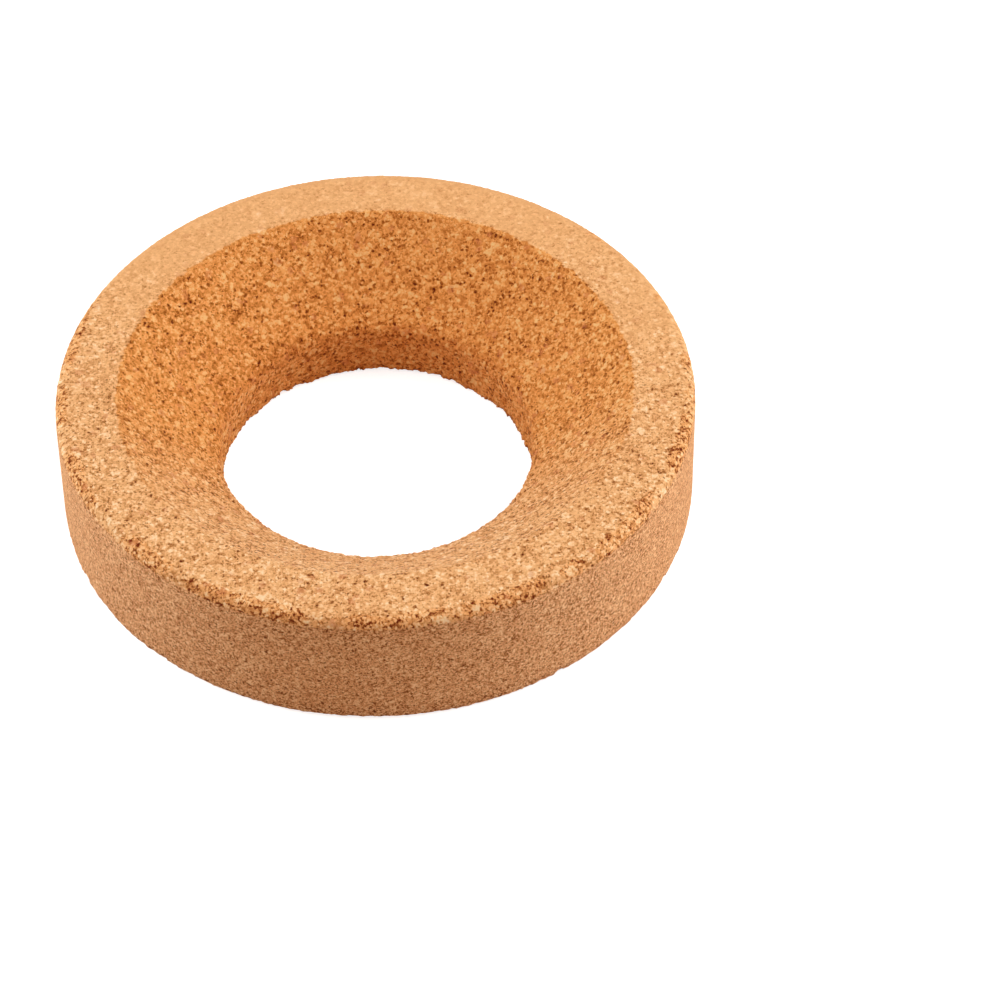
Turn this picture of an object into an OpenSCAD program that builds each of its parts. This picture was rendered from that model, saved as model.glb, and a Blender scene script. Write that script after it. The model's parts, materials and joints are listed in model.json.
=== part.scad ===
// Support ring for round-bottomed flasks, pressed from granulated cork in one piece.
// The flask rests in a conical seat that narrows to a straight bore through the base.
// Origin: centre of the base. +Z is the ring's axis and points up, towards the seat.

/* [Ring] */
// Outer diameter of the ring
outer_d = 140; // [124:1:180]
// Height of the ring, from the base to the top face
ring_h = 30; // [26:1:48]

/* [Seat] */
// Diameter of the conical seat where it meets the top face
seat_d = 112; // [96:1:120]
// Diameter of the straight bore below the seat
bore_d = 69; // [50:1:84]
// Height of the straight bore, from the base to the start of the seat
bore_h = 13; // [8:0.5:18]

/* [Edges] */
// Radius of the worn outer edge of the top face
top_edge_r = 2.6; // [0.5:0.1:4]
// Radius of the outer edge of the base
base_edge_r = 1.2; // [0.3:0.1:3]
// Radius of the rim between the top face and the seat
rim_r = 1.4; // [0.3:0.1:4]
// Radius of the throat between the seat and the bore
throat_r = 4; // [1:0.5:8]
// Radius of the edge between the bore and the base
bore_edge_r = 1; // [0.3:0.1:3]

/* [Hidden] */
$fn = 96;

CORK = [0.87, 0.62, 0.38];

outer_r = outer_d / 2;
seat_r = seat_d / 2;
bore_r = bore_d / 2;

// One corner of the ring's section is [[radius, height], edge radius].
// The corners run anticlockwise from the inner end of the base.
section_corners = [
    [[bore_r, 0], bore_edge_r],
    [[outer_r, 0], base_edge_r],
    [[outer_r, ring_h], top_edge_r],
    [[seat_r, ring_h], rim_r],
    [[bore_r, bore_h], throat_r],
];

// Unit vector from point a to point b
function direction(a, b) = (b - a) / norm(b - a);

// Angle inside the corner at p, between its two neighbours
function corner_angle(before, p, after) =
    acos(direction(p, before) * direction(p, after));

// Centre of the arc that rounds the corner at p: on the bisector, edge_r from both sides
function arc_centre(before, p, after, edge_r) =
    let (bisector = direction(p, before) + direction(p, after))
    p + bisector / norm(bisector) * edge_r / sin(corner_angle(before, p, after) / 2);

// Where the arc meets the side that leads from p towards next
function arc_end(p, next, other, edge_r) =
    p + direction(p, next) * edge_r / tan(corner_angle(next, p, other) / 2);

// A convex outline with each corner rounded by a true arc.
// The polygon is notched to each arc's centre, and a disc there fills the notch.
module rounded_outline(corners) {
    last = len(corners) - 1;
    cut_corners = [
        for (i = [0 : last])
            let (
                before = corners[i == 0 ? last : i - 1][0],
                p = corners[i][0],
                after = corners[i == last ? 0 : i + 1][0],
                edge_r = corners[i][1]
            )
            [
                arc_end(p, before, after, edge_r),
                arc_centre(before, p, after, edge_r),
                arc_end(p, after, before, edge_r),
            ]
    ];
    polygon([for (cut = cut_corners) each cut]);
    for (i = [0 : last])
        translate(cut_corners[i][1])
            circle(r = corners[i][1]);
}

// The whole ring: its section turned about the axis
module cork_ring() {
    color(CORK)
        rotate_extrude($fn = 192)
            rounded_outline(section_corners);
}

cork_ring();
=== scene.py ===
"""Looks of a cork support ring for round-bottomed flasks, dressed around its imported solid.

The ring is one piece of pressed, granulated cork. Its surface here is worked out from the same section as the
solid, with the relief of single granules, torn-out granules along its worn edges, and a procedural cork
finish. All lengths in the classes are in millimetres, and meshes are in metres, as the frame is.
"""

import itertools
import json
import logging
import math
from dataclasses import dataclass, field, fields
from enum import Enum
from typing import Any

import bpy
import numpy as np
from mathutils import Matrix, Vector

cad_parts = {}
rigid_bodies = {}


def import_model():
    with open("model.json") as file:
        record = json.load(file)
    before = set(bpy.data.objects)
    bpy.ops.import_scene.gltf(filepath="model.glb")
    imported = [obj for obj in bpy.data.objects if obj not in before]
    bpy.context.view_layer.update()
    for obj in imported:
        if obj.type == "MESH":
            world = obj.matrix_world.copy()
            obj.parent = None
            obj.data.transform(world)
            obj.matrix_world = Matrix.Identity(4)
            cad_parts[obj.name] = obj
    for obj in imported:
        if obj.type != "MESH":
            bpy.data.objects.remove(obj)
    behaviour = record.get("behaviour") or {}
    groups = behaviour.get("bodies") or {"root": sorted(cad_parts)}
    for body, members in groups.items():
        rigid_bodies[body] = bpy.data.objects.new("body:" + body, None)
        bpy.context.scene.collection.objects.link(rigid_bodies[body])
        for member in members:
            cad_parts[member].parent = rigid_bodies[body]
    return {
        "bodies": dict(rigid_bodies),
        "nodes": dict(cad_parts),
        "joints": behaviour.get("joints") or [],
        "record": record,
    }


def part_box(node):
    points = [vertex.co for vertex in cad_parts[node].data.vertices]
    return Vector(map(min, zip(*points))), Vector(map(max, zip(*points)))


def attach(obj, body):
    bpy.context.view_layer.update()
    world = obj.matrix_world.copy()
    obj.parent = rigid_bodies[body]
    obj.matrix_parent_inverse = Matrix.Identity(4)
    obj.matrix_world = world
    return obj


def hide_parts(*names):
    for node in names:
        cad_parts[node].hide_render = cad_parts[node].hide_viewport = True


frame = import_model()

log = logging.getLogger("cork_ring")

MM = 0.001
NODE = "cork_ring"
BODY = "root"
WHITE = "#FFFFFF"

Tree = bpy.types.NodeTree
Socket = bpy.types.NodeSocket
Source = bpy.types.Node | bpy.types.NodeSocket


# Colours and nodes


def linear(hex_colour: str) -> tuple[float, float, float, float]:
    """Turn an sRGB hex colour into the linear colour that shaders take.

    Args:
        hex_colour: six hex digits, with or without a leading #.

    Returns:
        Red, green, blue and an alpha of 1.
    """
    digits = hex_colour.lstrip("#")
    channels = [int(digits[i : i + 2], 16) / 255 for i in (0, 2, 4)]
    red, green, blue = (c / 12.92 if c <= 0.04045 else ((c + 0.055) / 1.055) ** 2.4 for c in channels)
    return red, green, blue, 1.0


def add_node(tree: Tree, kind: str, inputs: dict[Any, Any] | None = None, **settings: Any) -> bpy.types.Node:
    """Add a node with its settings, constant values and links.

    Args:
        tree: the node tree that the node goes in.
        kind: the node's type after the word ShaderNode, such as Math.
        inputs: input sockets by name or number, each with a constant value or with a socket or node to link.
        settings: properties of the node itself.

    Returns:
        The new node.
    """
    node = tree.nodes.new("ShaderNode" + kind)
    for name, value in settings.items():
        setattr(node, name, value)
    for key, value in (inputs or {}).items():
        source = value.outputs[0] if isinstance(value, bpy.types.Node) else value
        if isinstance(source, Socket):
            tree.links.new(source, node.inputs[key])
        else:
            node.inputs[key].default_value = source
    return node


def per_metre(spacing_mm: float) -> float:
    """The scale at which a pattern on coordinates in metres repeats about once in spacing_mm."""
    return 1 / (spacing_mm * MM)


# Random fields


STIR = 0xD6E8FEB86659FD93
AXIS_FACTORS = (0x9E3779B97F4A7C15, 0xC2B2AE3D27D4EB4F, 0x165667B19E3779F9)
SEED_STEP = 1013
WHOLE_WORD = 0xFFFFFFFFFFFFFFFF
HALF_WORD = np.uint64(32)
SPARE_BITS = np.uint64(11)
FRACTION_BITS = 53


def lattice_random(cells: np.ndarray, seed: int, channels: int) -> np.ndarray:
    """Give each cell of a whole-number lattice its own repeatable random numbers.

    A cell's three indices are multiplied by large odd factors and joined by exclusive or. The result is
    stirred twice by a shift and a multiplication, so that neighbouring cells get unlike numbers.

    Args:
        cells: whole numbers, shape (..., 3).
        seed: picks one of many sets of numbers.
        channels: how many numbers each cell gets.

    Returns:
        Numbers from 0 up to 1, shape (..., channels).
    """
    keys = cells.astype(np.int64).view(np.uint64)
    joined = np.zeros(cells.shape[:-1], np.uint64)
    for axis, factor in enumerate(AXIS_FACTORS):
        joined ^= keys[..., axis] * np.uint64(factor)
    numbers = []
    for channel in range(channels):
        bits = joined + np.uint64((seed * SEED_STEP + channel + 1) * STIR & WHOLE_WORD)
        for _ in range(2):
            bits = (bits ^ (bits >> HALF_WORD)) * np.uint64(STIR)
        bits ^= bits >> HALF_WORD
        numbers.append((bits >> SPARE_BITS).astype(float) / 2**FRACTION_BITS)
    return np.stack(numbers, -1)


def smooth_step(low: float, high: float, values: np.ndarray) -> np.ndarray:
    """Rise from 0 at low to 1 at high along a cubic that is level at both ends."""
    t = np.clip((values - low) / (high - low), 0, 1)
    return t * t * (3 - 2 * t)


def soft_noise(points: np.ndarray, spacing: float, seed: int) -> np.ndarray:
    """Smooth noise in space: random values on the corners of a cubic lattice, blended along cubic steps.

    Args:
        points: positions, shape (..., 3).
        spacing: the lattice's pitch, in the unit of the points.
        seed: picks one of many noises.

    Returns:
        Values from -1 to 1, shape (...).
    """
    scaled = points / spacing
    corner = np.floor(scaled)
    share = smooth_step(0, 1, scaled - corner)
    total = np.zeros(points.shape[:-1])
    for step in itertools.product((0, 1), repeat=3):
        weight = np.prod(np.where(np.array(step) == 1, share, 1 - share), -1)
        total += weight * lattice_random(corner + np.array(step), seed, 1)[..., 0]
    return 2 * total - 1


@dataclass(frozen=True)
class Patches:
    """Soft patches over the surface, in which some property is stronger or weaker.

    Attributes:
        spacing: the distance between patches, in mm.
        seed: picks one of many noises.
        strength, base: how far the property moves, and from what.
    """

    spacing: float
    seed: int
    strength: float
    base: float = 0.0

    def at(self, points: np.ndarray) -> np.ndarray:
        """The base plus the strength times smooth noise, at positions in millimetres."""
        return self.base + self.strength * soft_noise(points, self.spacing, self.seed)


@dataclass(frozen=True)
class Granules:
    """A mass of granules, as the cells around one random centre in each cube of a lattice.

    Attributes:
        spacing, seed: the lattice's pitch, in mm, and the pick among many masses.
    """

    spacing: float
    seed: int

    def at(self, points: np.ndarray) -> tuple[np.ndarray, np.ndarray]:
        """Find the granule that each point lies in.

        A point belongs to the granule with the nearest centre. Its depth in the granule is the distance to
        the second nearest centre less the distance to the nearest one.

        Args:
            points: positions in millimetres, shape (..., 3).

        Returns:
            The depth in the granule, from 0 at its border, in spacings, and the granule's two random numbers.
        """
        scaled = points / self.spacing
        home = np.floor(scaled)
        nearest = np.full(points.shape[:-1], np.inf)
        second = nearest.copy()
        fate = np.zeros(points.shape[:-1] + (2,))
        for step in itertools.product((-1, 0, 1), repeat=3):
            cell = home + np.array(step)
            numbers = lattice_random(cell, self.seed, 5)
            distance = np.linalg.norm(cell + numbers[..., :3] - scaled, axis=-1)
            closer = distance < nearest
            second = np.where(closer, nearest, np.minimum(second, distance))
            nearest = np.where(closer, distance, nearest)
            fate = np.where(closer[..., None], numbers[..., 3:], fate)
        return second - nearest, fate


# The ring's section


class Stretch(Enum):
    """The stretches of the section, in the order in which it is walked from the inner end of the base."""

    BORE_EDGE = 0
    BASE = 1
    BASE_EDGE = 2
    WALL = 3
    TOP_EDGE = 4
    TOP = 5
    RIM = 6
    SEAT = 7
    THROAT = 8
    BORE = 9


@dataclass(frozen=True)
class Surface:
    """How one stretch of the ring's surface was left by the mould, by sanding and by wear.

    Attributes:
        pitch: distance between the mesh's rings along the section, in mm.
        relief: how far the joints between granules lie below the granules, in mm.
        torn, pit: share of the granules that are torn out, and the depth that one leaves, in mm.
        wobble: how far the whole surface wanders from its true form, in mm.
        ledge: height of the steps between the broad patches that the tool left, in mm.
        specks, pores: how many specks of bark and fine dark pores it shows, about 1 at most.
        grain: how much its granules differ in tone, from 0 to 1.
        sanded: 1 where a sanded face shows cut granules, and 0 where the mould's wall left a fine skin.
        pressed: 1 where a hot plug pressed the seat and the bore, which leaves an open, redder face.
        frayed: 1 where an edge has crumbled to raw cork.
        worn: how much of the grain, the specks and the tears depends on the wear of the ring's front.
    """

    pitch: float
    relief: float = 0.0
    torn: float = 0.0
    pit: float = 0.0
    wobble: float = 0.0
    ledge: float = 0.0
    specks: float = 0.5
    pores: float = 0.5
    grain: float = 1.0
    sanded: float = 0.0
    pressed: float = 0.0
    frayed: float = 0.0
    worn: float = 0.0


SURFACES = {
    Stretch.BORE_EDGE: Surface(
        pitch=0.4, relief=0.35, torn=0.7, pit=1.1, wobble=0.5, ledge=0.4, specks=0.9, grain=0.8, pressed=1
    ),
    Stretch.BASE: Surface(pitch=4.5, specks=0.4, grain=0.75, sanded=1),
    Stretch.BASE_EDGE: Surface(pitch=0.5, relief=0.15, torn=0.35, pit=0.6, wobble=0.15, specks=0.3),
    Stretch.WALL: Surface(pitch=0.85, specks=0.1, pores=0.4, grain=0.85),
    Stretch.TOP_EDGE: Surface(
        pitch=0.42, relief=0.12, torn=0.15, pit=0.4, specks=0.6, grain=0.8, sanded=0.85, frayed=1, worn=0.85
    ),
    Stretch.TOP: Surface(
        pitch=0.7, relief=0.05, torn=0.04, pit=0.25, specks=0.45, pores=1.15, grain=0.66, sanded=1, worn=0.6
    ),
    Stretch.RIM: Surface(
        pitch=0.45, relief=0.2, torn=0.25, pit=0.45, wobble=0.2, specks=0.7, grain=0.7, pressed=0.85
    ),
    Stretch.SEAT: Surface(
        pitch=0.65,
        relief=0.2,
        torn=0.06,
        pit=0.35,
        wobble=0.12,
        specks=0.72,
        pores=0.25,
        grain=0.74,
        pressed=1,
    ),
    Stretch.THROAT: Surface(
        pitch=0.5, relief=0.28, torn=0.25, pit=0.6, wobble=0.3, ledge=0.12, specks=0.5, grain=0.72, pressed=1
    ),
    Stretch.BORE: Surface(
        pitch=0.6, relief=0.22, torn=0.15, pit=0.5, wobble=0.5, ledge=0.4, specks=0.55, grain=0.75, pressed=1
    ),
}


@dataclass(frozen=True)
class Section:
    """The section of the ring on one side of its axis, with a true arc at each of its five corners, in mm.

    Attributes:
        outer_r, bore_r, seat_r: radii of the wall, of the bore, and of the seat at the top face.
        height, bore_h: heights of the top face and of the sharp throat.
        bore_edge_r, base_edge_r, top_edge_r, rim_r, throat_r: radii of the five arcs.
    """

    outer_r: float
    height: float
    bore_r: float
    seat_r: float
    bore_h: float
    bore_edge_r: float
    base_edge_r: float
    top_edge_r: float
    rim_r: float
    throat_r: float

    def corners(self) -> list[tuple[np.ndarray, float]]:
        """List the sharp corners, anticlockwise from the bore's foot.

        Returns:
            Each corner's (radius, height) and its edge radius.
        """
        return [
            (np.array([self.bore_r, 0.0]), self.bore_edge_r),
            (np.array([self.outer_r, 0.0]), self.base_edge_r),
            (np.array([self.outer_r, self.height]), self.top_edge_r),
            (np.array([self.seat_r, self.height]), self.rim_r),
            (np.array([self.bore_r, self.bore_h]), self.throat_r),
        ]

    def arcs(self) -> list[tuple[np.ndarray, float, float, float]]:
        """Round each corner by an arc that touches both of its sides.

        The arc's centre lies on the corner's bisector, its radius away from both sides. It runs from the
        outward normal of the side before the corner to that of the side after it.

        Returns:
            Each arc's centre, its radius, and its first and last angle in radians.
        """
        corners = self.corners()
        result = []
        for i, (corner, radius) in enumerate(corners):
            before = corner - corners[i - 1][0]
            after = corners[(i + 1) % len(corners)][0] - corner
            first = math.atan2(-before[0], before[1])
            last = math.atan2(-after[0], after[1])
            turn = (last - first) % (2 * math.pi)
            bisector = first + turn / 2
            reach = radius / math.cos(turn / 2)
            centre = corner - reach * np.array([math.cos(bisector), math.sin(bisector)])
            result.append((centre, radius, first, first + turn))
        return result

    def walk(self) -> tuple[np.ndarray, np.ndarray, np.ndarray]:
        """Lay out the rings of the mesh along the section.

        An arc's points are its centre plus its radius times the unit vector at evenly spaced angles. A
        straight stretch runs evenly from the end of one arc to the start of the next.

        Returns:
            The rings' (radius, height), their outward normals, and the number of each one's stretch.
        """
        arcs = self.arcs()
        places, normals, stretches = [], [], []
        for i, (centre, radius, first, last) in enumerate(arcs):
            bend, straight = Stretch(2 * i), Stretch(2 * i + 1)
            steps = max(2, math.ceil(radius * (last - first) / SURFACES[bend].pitch))
            angles = np.linspace(first, last, steps + 1)
            outwards = np.stack([np.cos(angles), np.sin(angles)], -1)
            places.append(centre + radius * outwards)
            normals.append(outwards)
            stretches.append(np.full(steps + 1, bend.value))

            next_centre, next_radius, next_first, _ = arcs[(i + 1) % len(arcs)]
            start = places[-1][-1]
            end = next_centre + next_radius * np.array([math.cos(next_first), math.sin(next_first)])
            steps = max(2, math.ceil(float(np.linalg.norm(end - start)) / SURFACES[straight].pitch))
            share = np.linspace(0, 1, steps + 1)[1:-1, None]
            places.append(start + (end - start) * share)
            normals.append(np.repeat(outwards[-1:], steps - 1, 0))
            stretches.append(np.full(steps - 1, straight.value))
        return np.concatenate(places), np.concatenate(normals), np.concatenate(stretches)


# The finish


@dataclass(frozen=True)
class CorkTone:
    """The colours of the granules on one kind of surface, from bits of bark to the palest."""

    bark: str
    dark: str
    warm: str
    tan: str
    pale: str


@dataclass(frozen=True)
class Grain:
    """The granules of one make of surface, and the crumbs in them.

    Attributes:
        granule_mm, crumb_mm: their sizes.
        spread: the distance between the darkest and the palest tone.
    """

    granule_mm: float
    crumb_mm: float
    spread: float


@dataclass(frozen=True)
class Chips:
    """A few granules of one size that stand out from the rest.

    Attributes:
        size_mm: their size.
        strength: how far they stand out.
        chosen: the random number at which a granule starts to be a chip and fully is one.
    """

    size_mm: float
    strength: float
    chosen: tuple[float, float]


@dataclass(frozen=True)
class Spots:
    """Small spots among the granules, each apart from the next.

    Attributes:
        dark: share of the spots that are dark where the surface has the most of them.
        pale: share that is pale.
        least, more: how much darker a dark spot is at least, and what chance may add.
        lift: how much paler a pale spot is.
        edge: distance from its centre at which a spot starts and is full, in cells.
    """

    dark: float = 0.45
    pale: float = 0.15
    least: float = 0.1
    more: float = 0.36
    lift: float = 0.3
    edge: tuple[float, float] = (0.65, 0.35)


@dataclass(frozen=True)
class GranulatedCork:
    """Cork granules pressed with a binder and cured hot: matte and dry, each granule of its own tone.

    Bits of bark and open pores show as small dark specks among the granules, each apart from the next. Where
    an edge has crumbled, pale crumbs stand apart, with painted shade in the gaps between them. A tone runs
    from
    0, bark, to 1, the palest granule, and each make of surface turns it into colours of its own.

    Attributes:
        name: the material's name.
        open_grain: granules where the cork is cut, or pressed by a plug.
        skin_grain: the finer granules of the moulded skin.
        speck_mm, pore_mm: cell sizes of the specks of bark and of the pores.
        spots: how specks and pores look.
        pale_chips, red_chips: larger granules in open cork.
        red: the colour of the red ones.
        raggedness: how far the granules' outlines are shaken, in granules.
        border_mm, border_detail: size and octaves of the bays where one make of surface meets another.
        border: cover, with noise added, at which a make starts and is full.
        crumb_share: how much of a granule's tone its crumbs decide.
        gap_mm: cell size of the crumbs of a frayed edge.
        gap: distance from a crumb's centre at which the gap starts and is full, in cells.
        gap_depth, hollow_depth: how much painted shade darkens the crumbs' gaps, and the pits and dark
            joints.
        drift_mm, drift: size of the broad drifts of tone, and how far they move it.
        middle: the tone of a middling granule.
        stops: the tones at which a make's colours stand.
        sanded, pressed, moulded, frayed: the colours of each make of surface.
        roughness, specular: high and low, as on dry cork.
        sheen, sheen_roughness: for its loose fibres.
        bump_mm, bump_strength: height and strength of the crumbs' relief.
    """

    name: str = "granulated_cork"
    open_grain: Grain = Grain(granule_mm=1.0, crumb_mm=0.52, spread=0.8)
    skin_grain: Grain = Grain(granule_mm=0.42, crumb_mm=0.3, spread=1.05)
    speck_mm: float = 0.85
    pore_mm: float = 0.5
    spots: Spots = Spots()
    pale_chips: tuple[Chips, ...] = (
        Chips(size_mm=1.5, strength=0.34, chosen=(0.955, 0.965)),
        Chips(size_mm=0.8, strength=0.34, chosen=(0.955, 0.965)),
    )
    red_chips: Chips = Chips(size_mm=1.3, strength=0.5, chosen=(0.96, 0.97))
    red: str = "#CC7448"
    raggedness: float = 0.7
    border_mm: float = 1.4
    border_detail: float = 3.0
    border: tuple[float, float] = (0.9, 1.1)
    crumb_share: float = 0.6
    gap_mm: float = 0.6
    gap: tuple[float, float] = (0.6, 0.75)
    gap_depth: float = 0.42
    hollow_depth: float = 0.12
    drift_mm: float = 9.0
    drift: float = 0.08
    middle: float = 0.5
    stops: tuple[float, ...] = (0.0, 0.22, 0.42, 0.6, 0.9)
    sanded: CorkTone = CorkTone("#5E1A00", "#B8743C", "#E09E62", "#F6B97C", "#FFD9A9")
    pressed: CorkTone = CorkTone("#5E1A00", "#AB5E1F", "#D78640", "#F0A156", "#F5C17D")
    moulded: CorkTone = CorkTone("#6A3000", "#9E5C29", "#CE8B56", "#EAA770", "#FFCF98")
    frayed: CorkTone = CorkTone("#6A2000", "#A25827", "#E09656", "#F8B471", "#FFD5A0")
    roughness: float = 0.9
    specular: float = 0.06
    sheen: float = 0.03
    sheen_roughness: float = 0.6
    bump_mm: float = 0.12
    bump_strength: float = 0.6

    def material(self) -> bpy.types.Material:
        """Build the finish on Object coordinates and on the piece's own attributes.

        Returns:
            The finished material.
        """
        material = bpy.data.materials.new(self.name)
        material.use_nodes = True
        tree = material.node_tree
        tree.nodes.clear()
        place = self._ragged_place(tree)
        shares = self._shares(tree, place)
        granules = self._granule_colour(tree, self._tone(tree, place, shares), shares)
        _, _, hollow = self._packed(tree, place, self.open_grain.crumb_mm)
        relief = {"Height": hollow, "Strength": self.bump_strength, "Distance": self.bump_mm * MM}
        shader = add_node(
            tree,
            "BsdfPrincipled",
            {
                "Base Color": self._with_red_chips(tree, place, granules, shares["sanded"]),
                "Roughness": self.roughness,
                "Specular IOR Level": self.specular,
                "Sheen Weight": self.sheen,
                "Sheen Roughness": self.sheen_roughness,
                "Normal": add_node(tree, "Bump", relief, invert=True),
            },
        )
        add_node(tree, "OutputMaterial", {"Surface": shader})
        return material

    def _ragged_place(self, tree: Tree) -> Source:
        """Shift Object coordinates by fine noise, so that granules are ragged.

        Args:
            tree: the material's node tree.

        Returns:
            The shifted coordinates.
        """
        place = add_node(tree, "TexCoord").outputs["Object"]
        size_mm = self.open_grain.granule_mm
        inputs = {"Vector": place, "Scale": per_metre(size_mm)}
        noise = add_node(tree, "TexNoise", inputs).outputs["Color"]
        centred = add_node(tree, "VectorMath", {0: noise, 1: (0.5, 0.5, 0.5)}, operation="SUBTRACT")
        reach = self.raggedness * size_mm * MM
        shift = add_node(tree, "VectorMath", {0: centred, "Scale": reach}, operation="SCALE")
        return add_node(tree, "VectorMath", {0: place, 1: shift}, operation="ADD")

    def _packed(self, tree: Tree, place: Source, size_mm: float) -> tuple[Socket, Socket, Socket]:
        """Pack granules of one size around random centres.

        Args:
            tree: the material's node tree.
            place: the coordinates to pack them in.
            size_mm: the granules' mean distance.

        Returns:
            Two random numbers for each granule, and the distance to its centre.
        """
        cells = add_node(tree, "TexVoronoi", {"Vector": place, "Scale": per_metre(size_mm)})
        numbers = add_node(tree, "SeparateColor", {"Color": cells.outputs["Color"]}).outputs
        return numbers[0], numbers[1], cells.outputs["Distance"]

    def _shares(self, tree: Tree, place: Source) -> dict[str, Source]:
        """Work out which make of surface covers a point. They meet along ragged lines.

        Pressed cork lies over sanded cork, with no skin between them. The moulded skin is what no other make
        covers.

        Args:
            tree, place: the material's node tree and the granules' coordinates.

        Returns:
            How far each make covers a point, from 0 to 1.
        """
        inputs = {"Vector": place, "Scale": per_metre(self.border_mm), "Detail": self.border_detail}
        bays = add_node(tree, "TexNoise", inputs)
        covers = {
            name: add_node(tree, "Attribute", attribute_name=name).outputs["Fac"]
            for name in ("sanded", "pressed", "frayed")
        }
        both = {0: covers["sanded"], 1: covers["pressed"]}
        covers["sanded"] = add_node(tree, "Math", both, operation="ADD")
        shares: dict[str, Source] = {}
        for name, cover in covers.items():
            ragged = add_node(tree, "Math", {0: cover, 1: bays}, operation="ADD")
            inputs = {"Value": ragged, "From Min": self.border[0], "From Max": self.border[1]}
            shares[name] = add_node(tree, "MapRange", inputs, interpolation_type="SMOOTHSTEP")
        inputs = {0: shares["sanded"], 1: shares["frayed"]}
        covered = add_node(tree, "Math", inputs, operation="MAXIMUM")
        shares["skin"] = add_node(tree, "Math", {0: 1.0, 1: covered}, operation="SUBTRACT")
        return shares

    def _grain_tone(self, tree: Tree, place: Source, grain: Grain) -> Source:
        """Give each granule and crumb a tone of its own, by their random numbers, weighted and centred.

        Args:
            tree, place: the material's node tree and the granules' coordinates.
            grain: their sizes and the spread of their tones.

        Returns:
            Tones around 0, up to half the spread either way.
        """
        granule, _, _ = self._packed(tree, place, grain.granule_mm)
        crumb, _, _ = self._packed(tree, place, grain.crumb_mm)
        tone: Source | float = -grain.spread / 2
        for number, share in ((crumb, self.crumb_share), (granule, 1 - self.crumb_share)):
            inputs = {0: number, 1: share * grain.spread, 2: tone}
            tone = add_node(tree, "Math", inputs, operation="MULTIPLY_ADD")
        return tone

    def _spot_tone(self, tree: Tree, place: Source, size_mm: float, attribute: str) -> Source:
        """Scatter dark and pale spots of one size.

        Args:
            tree, place: the material's node tree and the granules' coordinates.
            size_mm: the size of the cells that hold one spot each.
            attribute: the piece's attribute that says how many are dark, from 0 to 1.

        Returns:
            What to add to the tone: below 0 in a dark spot and above 0 in a pale one.
        """
        spots = self.spots
        number, shade, distance = self._packed(tree, place, size_mm)
        many = add_node(tree, "Attribute", attribute_name=attribute).outputs["Fac"]
        limit = add_node(tree, "Math", {0: many, 1: -spots.dark, 2: 1.0}, operation="MULTIPLY_ADD")
        dark = add_node(tree, "Math", {0: number, 1: limit}, operation="GREATER_THAN")
        inputs = {0: shade, 1: -spots.more, 2: -spots.least}
        depth = add_node(tree, "Math", inputs, operation="MULTIPLY_ADD")
        pale = add_node(tree, "Math", {0: number, 1: spots.pale}, operation="LESS_THAN")
        lift = add_node(tree, "Math", {0: pale, 1: spots.lift}, operation="MULTIPLY")
        change = add_node(tree, "Math", {0: dark, 1: depth, 2: lift}, operation="MULTIPLY_ADD")
        inputs = {"Value": distance, "From Min": spots.edge[0], "From Max": spots.edge[1]}
        inside = add_node(tree, "MapRange", inputs, interpolation_type="SMOOTHSTEP")
        return add_node(tree, "Math", {0: change, 1: inside}, operation="MULTIPLY")

    def _chosen(self, tree: Tree, place: Source, chips: Chips) -> Source:
        """Pick the few granules of one size that are chips.

        Args:
            tree, place: the material's node tree and the granules' coordinates.
            chips: their size, and how rare they are.

        Returns:
            1 in a chip and 0 elsewhere.
        """
        number, _, _ = self._packed(tree, place, chips.size_mm)
        inputs = {"Value": number, "From Min": chips.chosen[0], "From Max": chips.chosen[1]}
        return add_node(tree, "MapRange", inputs, interpolation_type="SMOOTHSTEP")

    def _tone(self, tree: Tree, place: Source, shares: dict[str, Source]) -> Source:
        """Work out each point's tone, with spots, painted shade in hollows and gaps, and broad drifts.

        A moulded skin shows finer granules than cut or pressed cork, which has a few larger pale ones.
        Painted shade darkens the gaps between a frayed edge's crumbs.

        Args:
            tree, place: the material's node tree and the granules' coordinates.
            shares: how far each make of surface covers a point.

        Returns:
            The tone from 0, bark, to 1, the palest granule.
        """
        plain = add_node(tree, "TexCoord").outputs["Object"]
        skin = self._grain_tone(tree, plain, self.skin_grain)
        open_cork = self._grain_tone(tree, place, self.open_grain)
        for chips in self.pale_chips:
            inputs = {0: self._chosen(tree, place, chips), 1: chips.strength, 2: open_cork}
            open_cork = add_node(tree, "Math", inputs, operation="MULTIPLY_ADD")
        tone = add_node(tree, "Mix", {0: shares["skin"], 2: open_cork, 3: skin})
        for size_mm, attribute in ((self.speck_mm, "specks"), (self.pore_mm, "pores")):
            spots = self._spot_tone(tree, place, size_mm, attribute)
            tone = add_node(tree, "Math", {0: tone, 1: spots}, operation="ADD")
        # Painted shade: the gaps between a frayed edge's crumbs are darkened.
        _, _, distance = self._packed(tree, place, self.gap_mm)
        inputs = {"Value": distance, "From Min": self.gap[0], "From Max": self.gap[1]}
        far = add_node(tree, "MapRange", inputs, interpolation_type="SMOOTHSTEP")
        crumb_gap_shade = add_node(tree, "Math", {0: far, 1: shares["frayed"]}, operation="MULTIPLY")
        # Painted shade, with the joints' own darker colour: darker by the depth of the joints and the
        # torn-out pits.
        pit_and_joint_shade = add_node(tree, "Attribute", attribute_name="hollow").outputs["Fac"]
        drifts = add_node(tree, "TexNoise", {"Vector": place, "Scale": per_metre(self.drift_mm)})
        for layer, strength in ((crumb_gap_shade, -self.gap_depth), (pit_and_joint_shade, -self.hollow_depth), (drifts, self.drift)):
            inputs = {0: layer, 1: strength, 2: tone}
            tone = add_node(tree, "Math", inputs, operation="MULTIPLY_ADD")
        contrast = add_node(tree, "Attribute", attribute_name="grain").outputs["Fac"]
        inputs = {0: tone, 1: contrast, 2: self.middle}
        return add_node(tree, "Math", inputs, operation="MULTIPLY_ADD")

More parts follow.
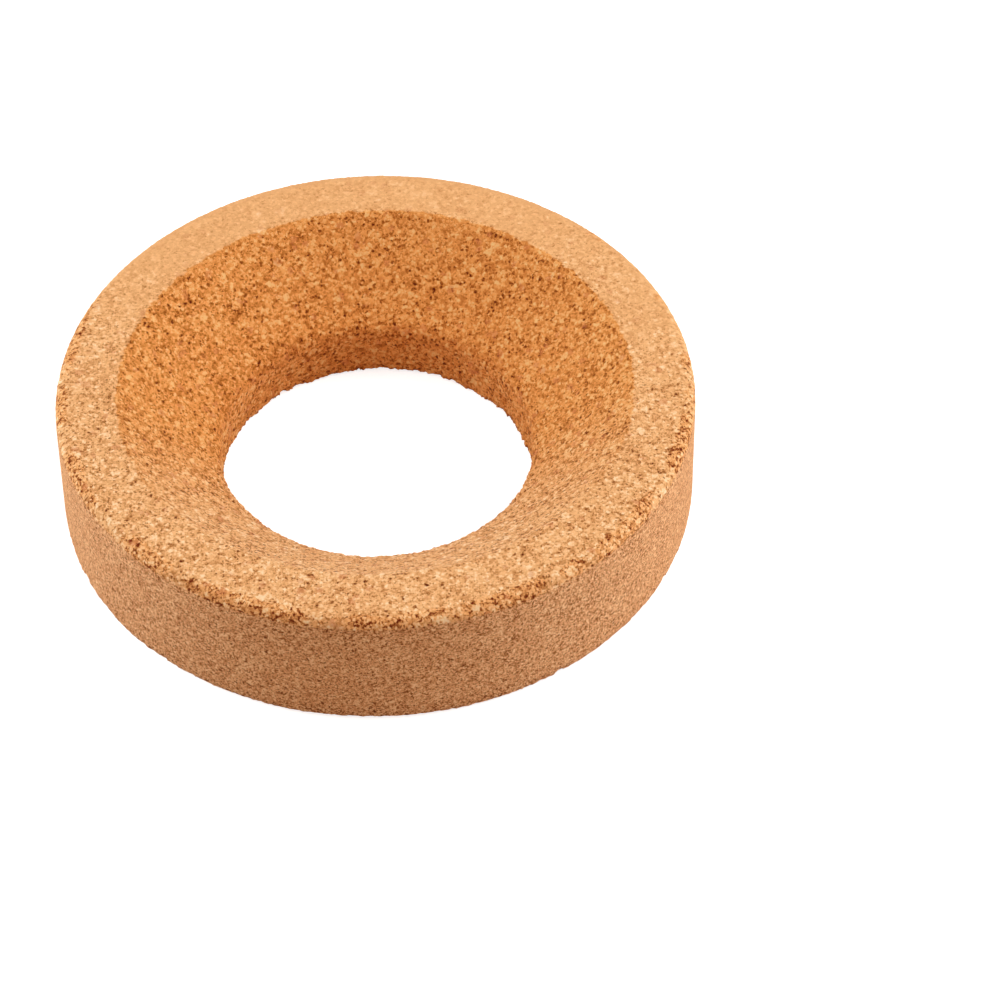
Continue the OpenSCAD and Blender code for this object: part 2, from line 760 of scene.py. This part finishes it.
    def _coloured(self, tree: Tree, tone: Source, colours: CorkTone) -> Source:
        """Turn a tone into the colours of one make of surface.

        Args:
            tree: the material's node tree.
            tone: the tone from 0 to 1.
            colours: the colours at the stops.

        Returns:
            The colour.
        """
        node = add_node(tree, "ValToRGB", {"Fac": tone})
        elements = node.color_ramp.elements
        values = (colours.bark, colours.dark, colours.warm, colours.tan, colours.pale)
        while len(elements) < len(self.stops):
            elements.new(0.5)
        for element, position, value in zip(elements, self.stops, values):
            element.position = position
            element.color = linear(value)
        return node

    def _granule_colour(self, tree: Tree, tone: Source, shares: dict[str, Source]) -> Source:
        """Colour the granules by each make of surface; painted light pales pressed cork towards the front.

        Args:
            tree: the material's node tree.
            tone: the tone from 0 to 1.
            shares: how far each make of surface covers a point.

        Returns:
            The colour.
        """
        sanded = self._coloured(tree, tone, self.sanded)
        # Painted light: pressed cork pales to sanded cork towards the front, where it is lit from behind and
        # seen edge-on.
        faded = add_node(tree, "Attribute", attribute_name="faded").outputs["Fac"]
        inputs = {0: faded, 6: self._coloured(tree, tone, self.pressed), 7: sanded}
        pressed = add_node(tree, "Mix", inputs, data_type="RGBA").outputs[2]
        makes = {"sanded": sanded, "pressed": pressed, "frayed": self._coloured(tree, tone, self.frayed)}
        colour = self._coloured(tree, tone, self.moulded)
        for name, cork in makes.items():
            inputs = {0: shares[name], 6: colour, 7: cork}
            colour = add_node(tree, "Mix", inputs, data_type="RGBA").outputs[2]
        return colour

    def _with_red_chips(self, tree: Tree, place: Source, colour: Source, cover: Source) -> Source:
        """Redden a few granules wherever the cork is open.

        Args:
            tree, place: the material's node tree and the granules' coordinates.
            colour: the granules' colour so far.
            cover: how far a point is open cork, from 0 to 1.

        Returns:
            The colour.
        """
        contrast = add_node(tree, "Attribute", attribute_name="grain").outputs["Fac"]
        share = self._chosen(tree, place, self.red_chips)
        for factor in (self.red_chips.strength, cover, contrast):
            share = add_node(tree, "Math", {0: share, 1: factor}, operation="MULTIPLY")
        inputs = {0: share, 6: colour, 7: linear(self.red)}
        return add_node(tree, "Mix", inputs, data_type="RGBA").outputs[2]


# The ring


@dataclass(frozen=True)
class Tear:
    """How granules tear out of the cork.

    Attributes:
        onset: how far the torn share has to pass a granule's random number for a full pit.
        slope, joint: depth in the granule at which a pit is full and a joint ends, in spacings.
        spared: how much of a pit's depth chance may take away.
        small: how deep the pits of small granules are next to those of large ones.
    """

    onset: float = 0.08
    slope: float = 0.35
    spared: float = 0.5
    joint: float = 0.5
    small: float = 0.6


@dataclass
class CorkRing:
    """The whole ring: one closed surface turned about the axis, roughened granule by granule.

    A pair of limits says where a property starts and where it is full. "By the front" means by the cosine of
    the angle around the axis from -Y: 1 at the very front, and -1 at the back.

    Attributes:
        section: the section that is turned.
        columns: steps of the mesh around the axis, a multiple of 4.
        coarse: the granules that tear out along worn edges.
        fine: the granules that give faces their relief.
        ledges: the broad patches that a worn tool left a little proud or low.
        tear: how granules tear out.
        shake: noises that shake the granules' outlines, one for each axis.
        wander: noises of the surface's waviness.
        wear, wear_sway: limits of the wear, by the front, and how they sway.
        torn_patches, frayed_patches, speck_patches: where more is torn out, crumbled or bark.
        faded: limits, by the front, of the painted light that pales the seat's pressed cork to sanded cork.
        fine_skin, skin_calm: limits of the moulded skin's full grain, by the front, and its lack elsewhere.
        level: how level a face has to be for sanding to start on it and to reach it fully.
        joint_shade: how dark the joints are next to their depth, partly their own colour and partly painted
            shade.
        blend_mm: how far the make of one stretch fades into the next along the section.
        margin: the border left free around each strip of the UV map.
        finish: the ring's finish.
    """

    section: Section
    columns: int = 704
    coarse: Granules = Granules(1.9, 11)
    fine: Granules = Granules(1.05, 12)
    ledges: Granules = Granules(13.0, 13)
    tear: Tear = Tear()
    shake: tuple[Patches, ...] = (Patches(0.9, 21, 0.35), Patches(0.9, 22, 0.35), Patches(0.9, 23, 0.35))
    wander: tuple[Patches, ...] = (Patches(11.0, 41, 0.5), Patches(4.0, 42, 0.3))
    wear: tuple[float, float] = (-0.9, 0.2)
    wear_sway: Patches = Patches(16.0, 30, 0.25)
    torn_patches: Patches = Patches(8.0, 31, 0.7, base=0.8)
    frayed_patches: Patches = Patches(5.0, 32, 0.9, base=0.7)
    speck_patches: Patches = Patches(7.0, 33, 1.2, base=1.0)
    faded: tuple[float, float] = (-0.1, 0.9)
    fine_skin: tuple[float, float] = (0.2, 0.95)
    skin_calm: float = 0.32
    level: tuple[float, float] = (0.0, 0.35)
    joint_shade: float = 3.5
    blend_mm: float = 0.8
    margin: float = 0.01
    finish: GranulatedCork = field(default_factory=GranulatedCork)

    @classmethod
    def from_frame(cls, packed: dict[str, Any]) -> "CorkRing":
        """Take the ring's sizes from the frame, and its edge radii from the part's design.


        Returns:
            The ring, not built yet.
        """
        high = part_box(NODE)[1]
        bore = next(m for m in packed["record"]["mounts"] if m["name"] == "bore")
        section = Section(
            outer_r=high.x / MM,
            height=high.z / MM,
            bore_r=bore["dims"]["r_mm"],
            seat_r=56.0,
            bore_h=13.0,
            bore_edge_r=1.0,
            base_edge_r=1.2,
            top_edge_r=2.6,
            rim_r=1.4,
            throat_r=4.0,
        )
        return cls(section)

    def _blended(self, places: np.ndarray, stretches: np.ndarray) -> dict[str, np.ndarray]:
        """Fade each property of the stretches along the section.

        A ring's value is the mean of all rings' values, weighted by a bell curve of the distance along the
        closed section and by the length of section that each ring stands for.

        Args:
            places: the rings' (radius, height).
            stretches: the number of each ring's stretch.

        Returns:
            Each property of Surface by its name, as a column with one value for each ring.
        """
        steps = np.linalg.norm(np.roll(places, -1, 0) - places, axis=1)
        along = np.concatenate([[0], np.cumsum(steps)[:-1]])
        gap = np.abs(along[:, None] - along[None, :])
        gap = np.minimum(gap, steps.sum() - gap)
        weight = np.exp(-0.5 * (gap / self.blend_mm) ** 2) * (steps + np.roll(steps, 1))
        weight /= weight.sum(1, keepdims=True)
        names = [item.name for item in fields(Surface)]
        table = np.array([[getattr(SURFACES[Stretch(s)], name) for name in names] for s in stretches])
        return {name: values[:, None] for name, values in zip(names, (weight @ table).T)}

    def _turned(self, pairs: np.ndarray) -> np.ndarray:
        """Turn (radius, height) pairs about the axis.

        A pair becomes a circle of points (radius cos a, radius sin a, height), at evenly spaced angles a from
        +X.

        Args:
            pairs: radius and height, shape (rings, 2).

        Returns:
            The circles, shape (rings, columns, 3).
        """
        turn = np.arange(self.columns) * 2 * math.pi / self.columns
        around = np.stack([np.cos(turn), np.sin(turn)], -1)
        flat = pairs[:, None, :1] * around[None]
        return np.concatenate([flat, np.repeat(pairs[:, None, 1:], self.columns, 1)], -1)

    def _torn_out(
        self, granules: Granules, points: np.ndarray, torn: np.ndarray
    ) -> tuple[np.ndarray, np.ndarray]:
        """Work out the pits that torn-out granules leave, and the joints between the rest.

        A granule is torn out where its first random number is below the share that is torn. Its pit rises
        from 1 at its middle to 0 at its border, and its second random number takes away a part of the depth.

        Args:
            granules: the granules to tear.
            points: positions in millimetres, shape (..., 3).
            torn: the share that is torn out at each point.

        Returns:
            The pits and the joints, each from 0 to 1.
        """
        depth, fate = granules.at(points)
        gone = smooth_step(0.0, self.tear.onset, torn - fate[..., 0])
        pits = gone * smooth_step(0.0, self.tear.slope, depth) * (1 - self.tear.spared * fate[..., 1])
        return pits, 1 - smooth_step(0.0, self.tear.joint, depth)

    def _surface(self) -> tuple[np.ndarray, dict[str, np.ndarray]]:
        """Work out every point of the ring.

        A point is its ring's place turned about the axis, moved along the section's normal. It sinks by the
        relief times how near it is to the border of its granule, and by the pit's depth where its granule is
        torn out. The wobble adds smooth noise and the ledges' steps. The ring's front, which looks to -Y, is
        worn the most, and the moulded skin is smoother away from it.

        Returns:
            The points in millimetres, shape (rings, columns, 3), and the attributes that the finish reads.
        """
        places, normals, stretches = self.section.walk()
        make = self._blended(places, stretches)
        points, outwards = self._turned(places), self._turned(normals)
        front = -points[..., 1] / np.linalg.norm(points[..., :2], axis=-1)
        wear = 1 - make["worn"] * (1 - smooth_step(*self.wear, front + self.wear_sway.at(points)))

        shaken = points + np.stack([noise.at(points) for noise in self.shake], -1)
        torn = make["torn"] * wear * self.torn_patches.at(points)
        large, _ = self._torn_out(self.coarse, shaken, torn)
        small, joint = self._torn_out(self.fine, shaken, torn)
        pit = np.maximum(large, self.tear.small * small)
        ledge = self.ledges.at(points)[1][..., 0] - 0.5
        wander = sum(noise.at(points) for noise in self.wander)
        sink = make["relief"] * joint + make["pit"] * pit + make["wobble"] * wander + make["ledge"] * ledge
        moved = points - outwards * sink[..., None]
        moved[..., 2] = np.clip(moved[..., 2], 0, self.section.height)

        full = np.ones(sink.shape)
        level = smooth_step(*self.level, np.abs(outwards[..., 2]))
        skin = np.clip(1 - make["sanded"] - make["pressed"], 0, 1)
        calm = 1 - self.skin_calm * skin * (1 - smooth_step(*self.fine_skin, front))
        attributes = {
            "sanded": make["sanded"] * level,
            "pressed": make["pressed"] * full,
            "frayed": make["frayed"] * level * wear * self.frayed_patches.at(points),
            # Painted light: pressed cork pales towards the front, where the seat is lit from behind and seen
            # edge-on.
            "faded": smooth_step(*self.faded, front),
            "specks": make["specks"] * wear * self.speck_patches.at(points),
            "pores": make["pores"] * wear,
            "grain": make["grain"] * wear * calm,
            # Painted shade, with the joints' own darker colour: dark by the depth of the joints and the
            # torn-out pits.
            "hollow": np.clip(self.joint_shade * make["relief"] * joint + pit, 0, 1),
        }
        return moved, attributes

    def _unwrapped(self, points: np.ndarray) -> np.ndarray:
        """Lay the surface out flat as four strips, one for each quarter turn, in the quarters of a square.

        Across a strip runs the turn about the axis, and up it runs the length along the section, both from a
        margin at 0 to a margin at 1.

        Args:
            points: the ring's points, shape (rings, columns, 3).

        Returns:
            The place of each corner of each face, shape (rings, columns, 4, 2).
        """
        rings, columns = points.shape[:2]
        steps = np.linalg.norm(np.roll(points[:, 0], -1, 0) - points[:, 0], axis=1)
        up = np.concatenate([[0], np.cumsum(steps)]) / steps.sum()
        quarter, step = np.divmod(np.arange(columns), columns // 4)
        across = np.stack([step, step + 1, step + 1, step], -1) / (columns // 4)
        upward = np.stack([up[:-1], up[:-1], up[1:], up[1:]], -1)
        flat = np.stack(np.broadcast_arrays(across[None], upward[:, None]), -1)
        flat = flat * (1 - 2 * self.margin) + self.margin
        corner = np.stack([quarter % 2, quarter // 2], -1)
        return (flat + corner[None, :, None]) / 2

    def build(self) -> bpy.types.Object:
        """Build the ring's mesh, with its attributes and its UV map, and dress it.

        Returns:
            The finished piece, riding on the body and standing for the solid.
        """
        points, attributes = self._surface()
        rings, columns = points.shape[:2]
        number = np.arange(rings * columns).reshape(rings, columns)
        above = np.roll(number, -1, 0)
        quads = np.stack([number, np.roll(number, -1, 1), np.roll(above, -1, 1), above], -1).reshape(-1, 4)
        mesh = bpy.data.meshes.new("ring")
        mesh.vertices.add(number.size)
        mesh.vertices.foreach_set("co", (points * MM).astype(np.float32).ravel())
        mesh.loops.add(quads.size)
        mesh.loops.foreach_set("vertex_index", quads.ravel().astype(np.int32))
        mesh.polygons.add(len(quads))
        mesh.polygons.foreach_set("loop_start", np.arange(0, quads.size, 4, dtype=np.int32))
        mesh.polygons.foreach_set("use_smooth", np.ones(len(quads), bool))
        mesh.update(calc_edges=True)
        flat = mesh.uv_layers.new(name="OFBake")
        flat.data.foreach_set("uv", self._unwrapped(points).astype(np.float32).ravel())
        for name, values in attributes.items():
            layer = mesh.attributes.new(name, "FLOAT", "POINT")
            layer.data.foreach_set("value", values.astype(np.float32).ravel())
        mesh.materials.append(self.finish.material())
        piece = bpy.data.objects.new("ring", mesh)
        bpy.context.scene.collection.objects.link(piece)
        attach(piece, BODY)
        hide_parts(NODE)
        log.info("ring: %d rings by %d columns, %d triangles", rings, columns, 2 * len(quads))
        return piece


# The studio


def seen_share(tree: Tree) -> Source:
    """Tell whether a surface or the world is seen, directly, in a reflection or through glass.

    Args:
        tree: the node tree that asks.

    Returns:
        1 where it is seen, and 0 where it only lights other things.
    """
    path = add_node(tree, "LightPath").outputs
    seen = path["Is Camera Ray"]
    for kind in ("Is Glossy Ray", "Is Transmission Ray"):
        seen = add_node(tree, "Math", {0: seen, 1: path[kind]}, operation="MAXIMUM")
    return seen


@dataclass(frozen=True)
class StudioWhite:
    """A white studio surface that shows as plain white and keeps a trace of shadow.

    Attributes:
        name: the material's name.
        colour, shown: its colour under the lamps, and its own glow where it is seen.
    """

    name: str = "studio_white"
    colour: str = "#D2CDC8"
    shown: float = 0.8

    def material(self) -> bpy.types.Material:
        """Make it glow white under its own diffuse light where it is seen, and be diffuse elsewhere.

        Returns:
            The finished material.
        """
        material = bpy.data.materials.new(self.name)
        material.use_nodes = True
        tree = material.node_tree
        tree.nodes.clear()
        glow = add_node(tree, "Emission", {"Color": linear(WHITE), "Strength": self.shown})
        matte = add_node(tree, "BsdfDiffuse", {"Color": linear(self.colour)})
        both = add_node(tree, "AddShader", {0: glow, 1: matte})
        mixed = add_node(tree, "MixShader", {0: seen_share(tree), 1: matte, 2: both})
        add_node(tree, "OutputMaterial", {"Surface": mixed})
        return material


@dataclass(frozen=True)
class Softbox:
    """A square area lamp that points at the ring.

    Attributes:
        name: the lamp's name.
        place: where it hangs, in metres.
        watts, tint: its power and the colour of its light.
        side: the length of its side, in metres.
    """

    name: str
    place: tuple[float, float, float]
    watts: float
    tint: str = WHITE
    side: float = 0.6

    def hang(self, target: Vector) -> None:
        """Make the lamp and turn it to the target.

        Args:
            target: the point that it faces, in metres.
        """
        lamp = bpy.data.lights.new(self.name, "AREA")
        lamp.size = self.side
        lamp.energy = self.watts
        lamp.color = linear(self.tint)[:3]
        holder = bpy.data.objects.new(self.name, lamp)
        bpy.context.scene.collection.objects.link(holder)
        holder.location = self.place
        holder.rotation_euler = (target - Vector(self.place)).to_track_quat("-Z", "Y").to_euler()


@dataclass
class Studio:
    """The floor, the light and the camera around the ring.

    Attributes:
        target: the ring's centre, in metres.
        elevation, roll: the camera's height above the horizon and its lean, in degrees.
        distance, clip: from the camera to the ring's centre, and the least and most that it sees, in metres.
        lens: focal length for a sensor 36 mm wide, in mm.
        shift: the frame's shift in shares of its width, right and up.
        ambient: strength of the even light from all around.
        floor_size: the length of the floor's side, in metres.
        softboxes: the lamps, of which the low side ones are a little cool and the front one is warm.
    """

    target: Vector
    elevation: float = 45.5
    distance: float = 0.95
    roll: float = -2.1
    lens: float = 154.5
    shift: tuple[float, float] = (0.1243, -0.067)
    clip: tuple[float, float] = (0.05, 20.0)
    ambient: float = 0.1
    floor_size: float = 8.0
    softboxes: tuple[Softbox, ...] = (
        Softbox("high_left_softbox", place=(-0.75, 0.13, 0.78), watts=5.7),
        Softbox("high_right_softbox", place=(0.75, 0.13, 0.78), watts=6.7),
        Softbox("low_left_softbox", place=(-0.95, 0.32, 0.15), watts=8.6, tint="#DCEEFF"),
        Softbox("low_right_softbox", place=(1.0, 0.0, 0.15), watts=7.4, tint="#DCEEFF"),
        Softbox("low_front_softbox", place=(0.05, -1.0, 0.5), watts=2.0, tint="#FFCEB3"),
    )

    def build(self) -> None:
        """Lay the floor, hang the lamps, light the world and set the camera."""
        self._floor()
        self._world()
        for softbox in self.softboxes:
            softbox.hang(self.target)
        self._camera()
        log.info("studio: floor, %d softboxes and camera", len(self.softboxes))

    def _floor(self) -> None:
        """A plane under the ring, far wider than the view."""
        half = self.floor_size / 2
        corners = [(-half, -half, 0), (half, -half, 0), (half, half, 0), (-half, half, 0)]
        mesh = bpy.data.meshes.new("floor")
        mesh.from_pydata(corners, [], [(0, 1, 2, 3)])
        mesh.materials.append(StudioWhite().material())
        floor = bpy.data.objects.new("floor", mesh)
        bpy.context.scene.collection.objects.link(floor)

    def _world(self) -> None:
        """An even, dim light from all around, which shows as white where it is seen."""
        world = bpy.data.worlds.new("studio")
        world.use_nodes = True
        bpy.context.scene.world = world
        tree = world.node_tree
        tree.nodes.clear()
        inputs = {"Value": seen_share(tree), "To Min": self.ambient, "To Max": 1.0}
        strength = add_node(tree, "MapRange", inputs)
        light = add_node(tree, "Background", {"Color": linear(WHITE), "Strength": strength})
        add_node(tree, "OutputWorld", {"Surface": light})

    def _camera(self) -> None:
        """Set the camera on a circle in front of the ring, looking at its centre and leaning by the roll."""
        elevation, roll = math.radians(self.elevation), math.radians(self.roll)
        away = Vector((0, -math.cos(elevation), math.sin(elevation)))
        camera = bpy.data.cameras.new("camera")
        camera.lens = self.lens
        camera.shift_x, camera.shift_y = self.shift
        camera.clip_start, camera.clip_end = self.clip
        holder = bpy.data.objects.new("camera", camera)
        bpy.context.scene.collection.objects.link(holder)
        lean = Matrix.Rotation(roll, 3, "Z")
        holder.rotation_euler = (away.to_track_quat("Z", "Y").to_matrix() @ lean).to_euler()
        holder.location = self.target + away * self.distance
        bpy.context.scene.camera = holder


def main() -> None:
    """Build the ring and the studio."""
    logging.basicConfig(level=logging.INFO, format="%(name)s: %(message)s")
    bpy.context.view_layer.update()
    bpy.context.scene.view_settings.view_transform = "Standard"
    low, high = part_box(NODE)
    Studio(target=(low + high) / 2).build()
    CorkRing.from_frame(frame).build()


if __name__ == "__main__":
    main()
